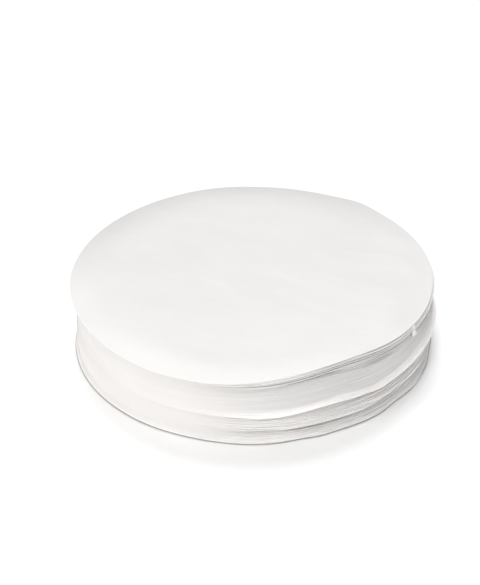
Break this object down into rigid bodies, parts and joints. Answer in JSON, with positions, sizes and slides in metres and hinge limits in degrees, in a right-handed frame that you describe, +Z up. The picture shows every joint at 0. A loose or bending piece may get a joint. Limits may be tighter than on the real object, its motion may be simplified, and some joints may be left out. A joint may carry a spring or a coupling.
{
  "type": "stack of filter paper discs",
  "caption": "Round stack of thin loose white filter paper discs, lying flat, with a slightly uneven cut side.",
  "frame": {"origin": "centre of the underside of the lowest disc, on the surface that the stack lies on", "axes": "+Z up through the stack, +X the way the upper bundle has slid"},
  "size_m": [0.1268, 0.126, 0.0249],
  "materials": {
    "filter_paper": "matte"
  },
  "bodies": {
    "root": {"top_disc": "filter_paper", "loose_disc_1": "filter_paper", "loose_disc_2": "filter_paper", "loose_disc_3": "filter_paper", "loose_disc_4": "filter_paper", "loose_disc_5": "filter_paper", "loose_disc_6": "filter_paper", "loose_disc_7": "filter_paper", "loose_disc_8": "filter_paper", "loose_disc_9": "filter_paper", "upper_bundle": "filter_paper", "middle_bundle": "filter_paper", "narrow_bundle": "filter_paper", "lower_bundle": "filter_paper", "bottom_disc": "filter_paper"}
  },
  "joints": []
}
